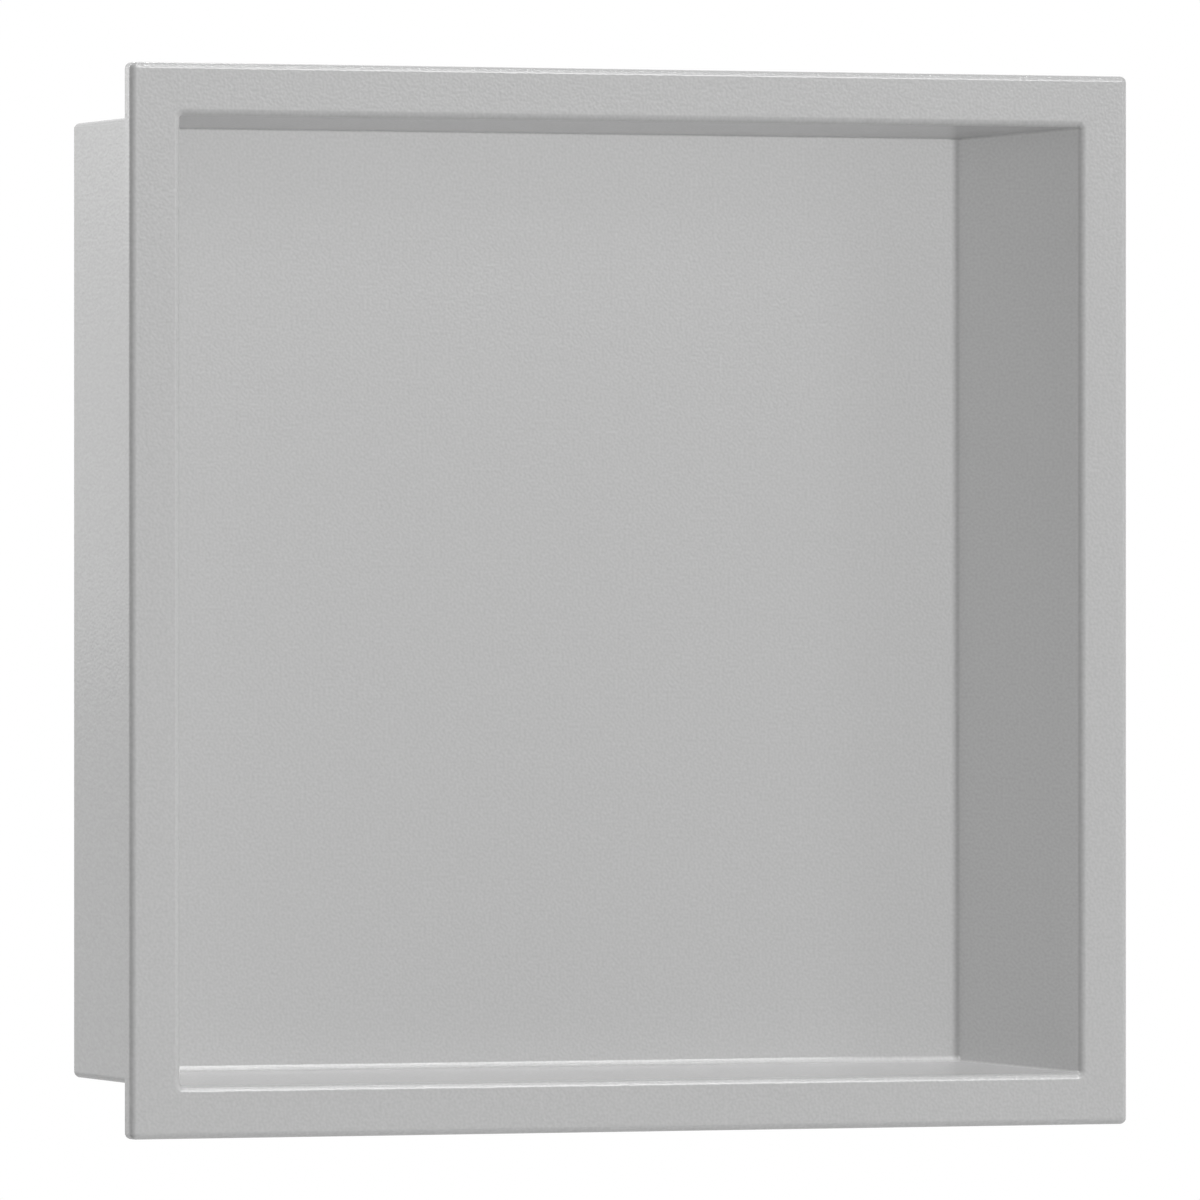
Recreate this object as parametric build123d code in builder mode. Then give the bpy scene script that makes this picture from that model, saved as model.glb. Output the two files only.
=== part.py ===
from build123d import *
import os

# Driving sizes in millimetres
opening_width = 300.0  # clear width between the side walls
opening_height = 300.0  # clear height from floor to ceiling
recess_depth = 100.0  # from the face of the wall to the outside of the back
flange_width = 16.4  # from the opening to the outer edge of the frame
rim_depth = 6.2  # from the face of the frame back to the face of the wall
sheet = 1.2  # thickness of the steel sheet
opening_bend = 1.0  # inside radius of the bend between walls and flange
rim_bend = 0.8  # inside radius of the bend between flange and rim, and of the rim's corners
wall_corner = 0.9  # inside radius where two neighbouring walls meet
back_seam = 2.2  # radius of the filled seam round the back, inside the niche
back_edge = 1.5  # radius of the ground edge round the back, on the hidden side

# Sizes that follow from them: the sheet lies outside the opening and behind the frame's face
frame_width = opening_width + 2 * flange_width
frame_height = opening_height + 2 * flange_width
box_width = opening_width + 2 * sheet
box_height = opening_height + 2 * sheet
box_length = rim_depth + recess_depth
niche_depth = box_length - sheet

# The wall's face holds the origin: +Y runs into the wall, and these planes face the room
wall_face = Plane.XZ
frame_face = wall_face.offset(rim_depth)


def across_depth(part):
    """Flat faces square to the depth, in order from the room into the wall."""
    return part.faces().filter_by(Axis.Y).sort_by(Axis.Y)


with BuildPart() as niche_body:
    # Frame: a slab on the wall, rounded round its face and down its four corners
    with BuildSketch(wall_face):
        Rectangle(frame_width, frame_height)
    extrude(amount=rim_depth)
    face_edges = across_depth(niche_body)[0].edges()
    corner_edges = niche_body.edges().filter_by(Axis.Y)
    fillet(face_edges + corner_edges, rim_bend + sheet)

    # Hollow behind it, which leaves the flange and the rim folded back from it
    offset(amount=-sheet, openings=across_depth(niche_body)[-1])

    # Box: four walls and a back, from the face of the frame into the wall
    with BuildSketch(frame_face):
        RectangleRounded(box_width, box_height, wall_corner + sheet)
    extrude(amount=-box_length)
    fillet(across_depth(niche_body)[-1].edges(), back_edge)

    # Hidden side of the bend where the walls turn out into the flange
    fillet(across_depth(niche_body)[1].inner_wires()[0].edges(), opening_bend)

    # Niche: the space between the walls, with the seam round the back filled smooth
    with BuildSketch(frame_face):
        RectangleRounded(opening_width, opening_height, wall_corner)
    extrude(amount=-niche_depth, mode=Mode.SUBTRACT)
    fillet(across_depth(niche_body)[-2].edges(), back_seam)

    # Bend round the opening, on the side that faces the room
    fillet(across_depth(niche_body)[0].inner_wires()[0].edges(), opening_bend + sheet)

niche_body.part.label = "niche_body"

os.makedirs("parts", exist_ok=True)
export_step(niche_body.part, "parts/niche_body.step")
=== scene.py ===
"""A shower niche insert: one folded, welded and powder-coated steel box, shown in a plain studio."""

import logging
import math
from collections.abc import Callable, Mapping
from dataclasses import dataclass
from enum import Enum

import bmesh
import bpy
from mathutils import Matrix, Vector


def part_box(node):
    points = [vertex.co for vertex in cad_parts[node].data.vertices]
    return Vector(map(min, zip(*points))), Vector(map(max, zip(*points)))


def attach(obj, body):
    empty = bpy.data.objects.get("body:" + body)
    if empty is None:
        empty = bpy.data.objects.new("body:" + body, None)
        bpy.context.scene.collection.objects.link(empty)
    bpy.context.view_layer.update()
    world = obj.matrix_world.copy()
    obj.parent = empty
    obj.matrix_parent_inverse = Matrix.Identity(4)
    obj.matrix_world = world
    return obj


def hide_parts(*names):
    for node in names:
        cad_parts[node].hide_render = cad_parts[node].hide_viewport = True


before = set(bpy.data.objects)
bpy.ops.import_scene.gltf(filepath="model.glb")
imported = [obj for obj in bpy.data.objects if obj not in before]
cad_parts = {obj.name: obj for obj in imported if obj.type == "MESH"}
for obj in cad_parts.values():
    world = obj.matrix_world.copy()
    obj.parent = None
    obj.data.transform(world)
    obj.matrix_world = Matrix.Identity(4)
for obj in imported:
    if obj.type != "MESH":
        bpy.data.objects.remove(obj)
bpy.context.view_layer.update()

MM = 0.001  # metres in a millimetre
NODE = "niche_body"
BODY = "root"
PHOTO_WIDTH = 1200.0  # pixels across the square photograph

log = logging.getLogger("niche")


def linear(colour: str) -> tuple[float, float, float, float]:
    """Turn an sRGB hex colour into the linear values that Blender's sockets take.

    Args:
        colour: six hex digits after a hash mark.

    Returns:
        Linear red, green and blue, and an alpha of one.
    """
    shares = [int(colour[digit : digit + 2], 16) / 255 for digit in (1, 3, 5)]
    # The two parts of the sRGB curve
    red, green, blue = [s / 12.92 if s <= 0.04045 else ((s + 0.055) / 1.055) ** 2.4 for s in shares]
    return red, green, blue, 1.0


def add_node(
    tree: bpy.types.NodeTree,
    kind: str,
    settings: Mapping[str, object] | None = None,
    values: Mapping[str | int, object] | None = None,
    links: Mapping[str | int, bpy.types.NodeSocket] | None = None,
) -> bpy.types.Node:
    """Add one node to a tree, set it and link its inputs.

    Args:
        tree: the tree that gets the node.
        kind: the node's Blender type name.
        settings: the node's own properties by name.
        values: constants for input sockets by name or place.
        links: output sockets to join to input sockets by name or place.

    Returns:
        The new node.
    """
    node = tree.nodes.new(kind)
    for name, value in (settings or {}).items():
        setattr(node, name, value)
    for key, value in (values or {}).items():
        node.inputs[key].default_value = value
    for key, socket in (links or {}).items():
        tree.links.new(socket, node.inputs[key])
    return node


@dataclass(frozen=True)
class PowderCoat:
    """Polyester powder coat, sprayed dry on the steel and baked in an oven.

    The powder melts into a matt pale grey skin with a fine grain and a slight orange peel, so flat
    faces look softly mottled, bends catch a broad soft highlight, and faces seen at a low angle shine.
    """

    colour: str = "#ACACAC"  # of the hollows between the grains
    crest_colour: str = "#B8B8B8"  # of the grains' crests
    roughness: float = 0.25
    roughness_spread: float = 0.03
    ior: float = 1.5
    grain_width: float = 0.92 * MM  # real grains are about a fifth of this, too fine for the render
    grain_height: float = 0.055 * MM
    grain_draw: float = 2.39  # drawn longer in depth, or the walls, seen at a low angle, would show none
    peel_width: float = 3.5 * MM
    peel_height: float = 0.012 * MM

    def material(self) -> bpy.types.Material:
        """Make the coat's material.

        Returns:
            A node material on Object coordinates.
        """
        made = bpy.data.materials.new("powder_coated_steel")
        made.use_nodes = True
        tree = made.node_tree
        tree.nodes.clear()
        place = add_node(tree, "ShaderNodeTexCoord").outputs["Object"]
        stretched = add_node(
            tree,
            "ShaderNodeMapping",
            values={"Scale": (1.0, 1 / self.grain_draw, 1.0)},
            links={"Vector": place},
        )
        grain = add_node(
            tree,
            "ShaderNodeTexNoise",
            values={"Scale": 1 / self.grain_width, "Detail": 0.0},
            links={"Vector": stretched.outputs["Vector"]},
        )
        peel = add_node(
            tree,
            "ShaderNodeTexNoise",
            values={"Scale": 1 / self.peel_width, "Detail": 1.0, "Roughness": 0.5},
            links={"Vector": place},
        )
        tint = add_node(
            tree,
            "ShaderNodeMix",
            {"data_type": "RGBA"},
            values={6: linear(self.colour), 7: linear(self.crest_colour)},
            links={0: grain.outputs["Fac"]},
        )
        shine = add_node(
            tree,
            "ShaderNodeMapRange",
            values={
                "To Min": self.roughness - self.roughness_spread / 2,
                "To Max": self.roughness + self.roughness_spread / 2,
            },
            links={"Value": peel.outputs["Fac"]},
        )
        waves = add_node(
            tree,
            "ShaderNodeBump",
            values={"Strength": 1.0, "Distance": self.peel_height},
            links={"Height": peel.outputs["Fac"]},
        )
        grit = add_node(
            tree,
            "ShaderNodeBump",
            values={"Strength": 1.0, "Distance": self.grain_height},
            links={"Height": grain.outputs["Fac"], "Normal": waves.outputs["Normal"]},
        )
        coat = add_node(
            tree,
            "ShaderNodeBsdfPrincipled",
            values={"IOR": self.ior},
            links={
                "Base Color": tint.outputs[2],
                "Roughness": shine.outputs["Result"],
                "Normal": grit.outputs["Normal"],
            },
        )
        add_node(tree, "ShaderNodeOutputMaterial", links={"Surface": coat.outputs["BSDF"]})
        return made


class Corner(Enum):
    """A corner of the opening, as its way across and its way up."""

    BOTTOM_LEFT = (-1, -1)
    BOTTOM_RIGHT = (1, -1)
    TOP_RIGHT = (1, 1)
    TOP_LEFT = (-1, 1)

    def holds(self, point: Vector) -> bool:
        """Say whether a point lies on this corner's side of both middle lines."""
        across, up = self.value
        return point.x * across > 0 and point.z * up > 0


@dataclass(frozen=True)
class Ring:
    """One line round the sheet: a rectangle with round corners, square to the depth."""

    half_width: float
    half_height: float
    radius: float  # of the round corners
    depth: float

    def centre(self, corner: Corner) -> Vector:
        """Find the centre of one round corner.

        Args:
            corner: which corner.

        Returns:
            The centre, in the plane of the ring.
        """
        across, up = corner.value
        half_width = self.half_width - self.radius
        half_height = self.half_height - self.radius
        return Vector((across * half_width, self.depth, up * half_height))

    def draw(self, cuts: int) -> None:
        """Add the ring to the mesh in edit mode: a plane with round corners and its face taken out.

        Args:
            cuts: straight runs in each round corner.
        """
        middle = (0.0, self.depth, 0.0)
        upright = (math.pi / 2, 0.0, 0.0)
        bpy.ops.mesh.primitive_plane_add(size=2 * self.half_width, location=middle, rotation=upright)
        stretch = (1.0, 1.0, self.half_height / self.half_width)
        bpy.ops.transform.resize(value=stretch, center_override=middle)
        bpy.ops.mesh.bevel(offset=self.radius, offset_type="OFFSET", segments=cuts, affect="VERTICES")
        bpy.ops.mesh.delete(type="ONLY_FACE")

    def passes(self, point: Vector, slack: float) -> bool:
        """Say whether the ring runs through a point.

        Args:
            point: the place to test.
            slack: how far off the line still counts.

        Returns:
            True if the point lies on the ring.
        """
        across = abs(point.x) - self.half_width + self.radius
        up = abs(point.z) - self.half_height + self.radius
        gap = math.hypot(max(across, 0.0), max(up, 0.0)) + min(max(across, up), 0.0) - self.radius
        return abs(gap) < slack and abs(point.y - self.depth) < slack


@dataclass(frozen=True)
class Bend:
    """A quarter turn of the sheet's skin, seen in its section.

    The section runs outwards from the edge of the opening and back from the face of the wall.
    """

    out: float  # centre of the turn, outwards from the opening
    depth: float  # centre of the turn, back from the face of the wall
    radius: float
    start: float  # degrees, from outwards towards the back
    end: float
    corner_centre: float  # centre of the round corners of its rings, outwards from the opening

    def section(self, steps: int) -> list[tuple[float, float, float]]:
        """Walk along the turn.

        Args:
            steps: straight runs in the turn.

        Returns:
            For each point its way out, its depth and the corner radius there.
        """
        points = []
        for step in range(steps + 1):
            angle = math.radians(self.start + (self.end - self.start) * step / steps)
            out = self.out + self.radius * math.cos(angle)
            points.append((out, self.depth + self.radius * math.sin(angle), out - self.corner_centre))
        return points


@dataclass
class NicheBody:
    """The whole insert: a box let into the wall, and a frame folded out round its opening."""

    high: Vector  # the right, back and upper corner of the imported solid
    flange_width: float = 16.4 * MM  # from the opening to the outer edge of the frame
    rim_depth: float = 6.2 * MM  # from the face of the frame back to the face of the wall
    sheet: float = 1.2 * MM
    opening_bend: float = 1.0 * MM  # inside radius between the walls and the frame
    rim_bend: float = 0.8 * MM  # inside radius between the frame and its rim
    wall_corner: float = 0.9 * MM  # inside radius where two walls meet
    back_seam: float = 2.2 * MM  # filled seam round the back, inside
    top_seam: float = 0.6 * MM  # the same seam under the ceiling, where it is tighter
    seam_blend: float = 1.0 * MM  # length over which the seam's corners narrow into the walls' corners
    back_edge: float = 1.5 * MM  # ground edge round the back, outside
    lip_edge: float = 0.3 * MM  # the coat's rounding on the cut edge of the rim
    pinch: float = 0.02 * MM  # corner radius that is merged to a point
    merge: float = 0.03 * MM  # points closer than this become one
    slack: float = 0.005 * MM  # how far off a ring a point may lie
    cuts: int = 8  # straight runs in each turn

    def bends(self) -> list[Bend]:
        """List the turns of the skin, from inside the niche over the frame to the outside of the back.

        Returns:
            The turns in the order that a finger would cross them.
        """
        face = -self.rim_depth
        back = self.high.y
        inner_back = back - self.sheet
        opening = self.opening_bend + self.sheet
        rim = self.rim_bend + self.sheet
        rim_centre = self.flange_width - rim
        lip = self.lip_edge
        seam = self.back_seam
        edge = self.back_edge
        return [
            # The seam, the fronts of the opening's bend and of the rim's bend
            Bend(-seam, inner_back - seam, seam, 90, 0, -seam),
            Bend(opening, face + opening, opening, 180, 270, -self.wall_corner),
            Bend(rim_centre, face + rim, rim, 270, 360, rim_centre),
            # Both sides of the rim's cut edge
            Bend(self.flange_width - lip, -lip, lip, 0, 90, rim_centre),
            Bend(self.flange_width - self.sheet + lip, -lip, lip, 90, 180, rim_centre),
            # The hidden sides of the same two bends, and the ground edge
            Bend(rim_centre, face + rim, self.rim_bend, 360, 270, rim_centre),
            Bend(opening, face + opening, self.opening_bend, 270, 180, -self.wall_corner),
            Bend(self.sheet - edge, back - edge, edge, 0, 90, -self.wall_corner),
        ]

    def rings(self) -> list[Ring]:
        """Turn the section into rings round the opening.

        Returns:
            The rings in order, from the inside of the back to its outside.
        """
        half_width = self.high.x - self.flange_width
        half_height = self.high.z - self.flange_width
        points = []
        for bend in self.bends():
            points.extend(bend.section(self.cuts))
        seam_end = self.cuts + 1
        out, depth, _ = points[self.cuts]
        points.insert(seam_end, (out, depth - self.seam_blend, self.wall_corner))
        return [
            Ring(half_width + out, half_height + out, max(corner, self.pinch), depth)
            for out, depth, corner in points
        ]

    def build(self) -> bpy.types.Object:
        """Draw the first ring, carry its edge through all the others and close both ends.

        Returns:
            The finished piece, smooth, at the origin.
        """
        bpy.ops.object.select_all(action="DESELECT")
        bpy.ops.object.add(type="MESH", enter_editmode=True)
        piece = bpy.context.object
        piece.name = "niche_shell"
        bpy.ops.mesh.select_mode(type="VERT")
        rings = self.rings()
        rings[0].draw(self.cuts)
        bpy.ops.mesh.select_all(action="SELECT")
        for ring, following in zip(rings, rings[1:]):
            self.carry(piece, ring, following)
        for end in (rings[0], rings[-1]):
            self.pick(piece, lambda point: end.passes(point.co, self.slack))
            bpy.ops.mesh.edge_face_add()
        self.tighten(piece)
        bpy.ops.mesh.select_all(action="SELECT")
        bpy.ops.mesh.remove_doubles(threshold=self.merge)
        bpy.ops.mesh.normals_make_consistent(inside=False)
        bpy.ops.object.mode_set(mode="OBJECT")
        bpy.ops.object.shade_smooth()
        even = piece.modifiers.new("flat_faces_stay_flat", "WEIGHTED_NORMAL")
        even.mode = "FACE_AREA"
        even.weight = 100  # the widest face at a point sets the way it faces
        bpy.ops.object.modifier_apply(modifier=even.name)
        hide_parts(NODE)
        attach(piece, BODY)
        return piece

    def carry(self, piece: bpy.types.Object, ring: Ring, following: Ring) -> None:
        """Extrude the open edge to the next ring: slide it in depth, then size and shift each corner.

        Args:
            piece: the object in edit mode, with the open edge selected.
            ring: where the open edge is.
            following: where it goes, and stays selected.
        """
        slide = {"value": (0.0, following.depth - ring.depth, 0.0)}
        bpy.ops.mesh.extrude_edges_move(TRANSFORM_OT_translate=slide)
        edge = {point.index for point in bmesh.from_edit_mesh(piece.data).verts if point.select}
        growth = following.radius / ring.radius
        for corner in Corner:
            self.pick(piece, lambda point: point.index in edge and corner.holds(point.co))
            shift = following.centre(corner) - ring.centre(corner)
            shift.y = 0.0
            bpy.ops.transform.resize(value=(growth, 1.0, growth), center_override=ring.centre(corner))
            bpy.ops.transform.translate(value=shift)
        self.pick(piece, lambda point: point.index in edge)

    def tighten(self, piece: bpy.types.Object) -> None:
        """Tighten the seam under the ceiling: press it all up, and all but its two ends back as well.

        Args:
            piece: the object in edit mode.
        """
        corner = Vector((0.0, self.high.y - self.sheet, self.high.z - self.flange_width))
        reach = self.high.x - self.flange_width - self.back_seam - self.seam_blend
        seam = self.back_seam + self.pinch
        strip = seam + self.seam_blend

        def under_ceiling(point: Vector, length: float) -> bool:
            """Say whether a point lies in the seam or within a length of it along the ceiling."""
            gap = corner - point
            return -self.pinch < gap.z < seam and -self.pinch < gap.y < length

        for end in (-reach, reach):
            self.pick(piece, lambda point: under_ceiling(point.co, strip))
            bpy.ops.mesh.bisect(plane_co=(end, 0.0, 0.0), plane_no=(1.0, 0.0, 0.0))
        share = self.top_seam / self.back_seam
        self.pick(piece, lambda point: under_ceiling(point.co, seam))
        bpy.ops.transform.resize(value=(1.0, 1.0, share), center_override=corner)
        between = reach + self.pinch
        self.pick(piece, lambda point: under_ceiling(point.co, seam) and abs(point.co.x) < between)
        bpy.ops.transform.resize(value=(1.0, share, 1.0), center_override=corner)

    def pick(self, piece: bpy.types.Object, wanted: Callable[[bmesh.types.BMVert], bool]) -> None:
        """Select the points that pass a test, and nothing else.

        Args:
            piece: the object in edit mode.
            wanted: the test.
        """
        bpy.ops.mesh.select_all(action="DESELECT")
        drawn = bmesh.from_edit_mesh(piece.data)
        for point in drawn.verts:
            point.select = wanted(point)
        drawn.select_flush_mode()
        bmesh.update_edit_mesh(piece.data)

    def dress(self, piece: bpy.types.Object, coat: PowderCoat) -> None:
        """Give the piece its coat."""
        piece.data.materials.append(coat.material())


class Beam(Enum):
    """How a lamp's light travels."""

    FILLING = "filling"  # comes from far off and reaches every face that is turned to it, without shadows
    MATT = "matt"  # the same, but gives the coat no sheen
    SHADED = "shaded"  # casts shadows
    SHEEN = "sheen"  # shows only as a sheen in the coat


@dataclass(frozen=True)
class SoftLamp:
    """A soft box, turned to the middle of the niche."""

    name: str
    beam: Beam
    azimuth: float  # degrees round from straight in front of the niche, to the right
    elevation: float  # degrees above the middle of the niche
    strength: float  # watts on a square metre that faces the lamp, at the middle of the niche
    distance: float = 3.0  # from the middle of the niche
    width: float = 0.53
    height: float = 0.53

    def hang(self) -> bpy.types.Object:
        """Hang the lamp and aim it.

        Returns:
            The lamp's object.
        """
        turn, lift = math.radians(self.azimuth), math.radians(self.elevation)
        way = Vector((math.sin(turn) * math.cos(lift), -math.cos(turn) * math.cos(lift), math.sin(lift)))
        far = self.beam in (Beam.FILLING, Beam.MATT)
        bpy.ops.object.light_add(type="SUN" if far else "AREA", location=way * self.distance)
        lamp = bpy.context.object
        lamp.name = self.name
        lamp.rotation_euler = way.to_track_quat("Z", "Y").to_euler()
        if far:
            lamp.data.angle = math.atan2(self.width, self.distance)
            lamp.data.energy = self.strength
        else:
            lamp.data.shape = "RECTANGLE"
            lamp.data.size = self.width
            lamp.data.size_y = self.height
            lamp.data.energy = self.strength * math.pi * self.distance**2
        lamp.data.use_shadow = not far
        lamp.data.cycles.use_multiple_importance_sampling = not far
        lamp.visible_camera = False
        lamp.visible_diffuse = self.beam is not Beam.SHEEN
        lamp.visible_glossy = self.beam is not Beam.MATT
        return lamp


@dataclass
class Studio:
    """A pale floor well below the niche, a white surround and a dozen soft lamps."""

    floor_drop: float = 1.5  # from the middle of the niche down to the floor
    floor_radius: float = 10.0  # so wide that the lower bends mirror it
    floor_sides: int = 96
    floor_colour: str = "#E6E6E6"
    surround: str = "#FFFFFF"
    room_light: float = 0.065  # strength of the surround for soft light on the faces

    def lay_floor(self) -> bpy.types.Object:
        """Lay the round floor, painted on top and clear from below, so that the niche shows from there.

        Returns:
            The floor's object.
        """
        bpy.ops.object.select_all(action="DESELECT")
        bpy.ops.mesh.primitive_circle_add(
            vertices=self.floor_sides, radius=self.floor_radius, fill_type="NGON"
        )
        floor = bpy.context.object
        floor.name = "studio_floor"
        floor.location.z = -self.floor_drop
        bpy.ops.object.transform_apply(location=True)
        made = bpy.data.materials.new("pale_floor_paint")
        made.use_nodes = True
        tree = made.node_tree
        tree.nodes.clear()
        paint = add_node(tree, "ShaderNodeBsdfDiffuse", values={"Color": linear(self.floor_colour)})
        clear = add_node(tree, "ShaderNodeBsdfTransparent")
        under = add_node(tree, "ShaderNodeNewGeometry").outputs["Backfacing"]
        one_way = add_node(
            tree,
            "ShaderNodeMixShader",
            links={0: under, 1: paint.outputs["BSDF"], 2: clear.outputs["BSDF"]},
        )
        add_node(tree, "ShaderNodeOutputMaterial", links={"Surface": one_way.outputs["Shader"]})
        floor.data.materials.append(made)
        return floor

    def hang_surround(self) -> None:
        """Make the world white to the eye and in reflections, and dimmer as light on matt faces."""
        world = bpy.data.worlds.new("white_surround")
        bpy.context.scene.world = world
        world.use_nodes = True
        tree = world.node_tree
        tree.nodes.clear()
        path = add_node(tree, "ShaderNodeLightPath")
        seen = add_node(
            tree,
            "ShaderNodeMath",
            {"operation": "MAXIMUM"},
            links={0: path.outputs["Is Camera Ray"], 1: path.outputs["Is Glossy Ray"]},
        )
        mirrored = add_node(
            tree,
            "ShaderNodeMath",
            {"operation": "MAXIMUM"},
            links={0: seen.outputs["Value"], 1: path.outputs["Is Transmission Ray"]},
        )
        soft = add_node(
            tree,
            "ShaderNodeBackground",
            values={"Color": linear(self.surround), "Strength": self.room_light},
        )
        white = add_node(
            tree,
            "ShaderNodeBackground",
            values={"Color": linear(self.surround), "Strength": 1.0},
        )
        mix = add_node(
            tree,
            "ShaderNodeMixShader",
            links={
                0: mirrored.outputs["Value"],
                1: soft.outputs["Background"],
                2: white.outputs["Background"],
            },
        )
        add_node(tree, "ShaderNodeOutputWorld", links={"Surface": mix.outputs["Shader"]})

    def light(self) -> list[bpy.types.Object]:
        """Hang the lamps.

        Returns:
            The lamps' objects.
        """
        lamps = [
            SoftLamp("key_lamp", Beam.FILLING, 20.0, 46.0, 0.95),
            SoftLamp("front_lamp", Beam.FILLING, 35.0, 8.0, 0.27),
            SoftLamp("top_lamp", Beam.FILLING, 50.0, 70.0, 0.48),
            SoftLamp("left_lamp", Beam.FILLING, -60.0, 60.0, 0.66),
            SoftLamp("side_lamp", Beam.FILLING, -120.0, 45.0, 0.68),
            SoftLamp("back_lamp", Beam.FILLING, -140.0, 20.0, 0.43),
            SoftLamp("front_fill", Beam.MATT, 40.0, 0.0, 1.33),
            SoftLamp("low_strip", Beam.SHEEN, 20.0, 16.7, 0.27, distance=3.13, width=0.8, height=0.3),
            SoftLamp("high_strip", Beam.SHEEN, 20.0, 23.4, 0.86, distance=3.27, width=0.8, height=0.3),
            SoftLamp("rim_lamp", Beam.SHADED, -140.0, 20.0, 0.35, distance=1.0, width=0.4, height=0.4),
            SoftLamp("rear_lamp", Beam.SHADED, -155.0, 10.0, 0.068, distance=1.0, width=0.4, height=0.4),
            SoftLamp("crown_lamp", Beam.SHADED, 180.0, 55.0, 1.0, distance=1.5, width=0.6, height=0.6),
        ]
        return [lamp.hang() for lamp in lamps]


@dataclass
class ViewCamera:
    """A camera with a long lens, left of the niche and level with its middle."""

    place: tuple[float, float, float] = (-1.36584, -3.70128, 0.00542)
    yaw: float = 20.1196  # degrees from straight into the wall, to the right
    pitch: float = -0.0766  # degrees up from level
    focal_pixels: float = 12581.8  # focal length over the width of one pixel of the photograph
    film_width: float = 36.0  # millimetres

    def build(self) -> bpy.types.Object:
        """Set up the camera and make it the scene's own.

        Returns:
            The camera's object.
        """
        turn = (math.radians(90 + self.pitch), 0.0, math.radians(-self.yaw))
        bpy.ops.object.camera_add(location=self.place, rotation=turn)
        camera = bpy.context.object
        camera.name = "view_camera"
        camera.data.sensor_width = self.film_width
        camera.data.lens = self.film_width * self.focal_pixels / PHOTO_WIDTH
        bpy.context.scene.camera = camera
        return camera


def main() -> None:
    """Build the niche, the studio and the camera, in that order."""
    logging.basicConfig(level=logging.INFO, format="%(name)s: %(message)s")
    bpy.context.scene.view_settings.view_transform = "Standard"
    _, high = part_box(NODE)
    niche = NicheBody(high)
    piece = niche.build()
    niche.dress(piece, PowderCoat())
    log.info("%s: %d faces", piece.name, len(piece.data.polygons))
    studio = Studio()
    log.info("%s laid", studio.lay_floor().name)
    studio.hang_surround()
    for lamp in studio.light():
        log.info("%s hung", lamp.name)
    camera = ViewCamera().build()
    log.info("%s set up", camera.name)


if __name__ == "__main__":
    main()
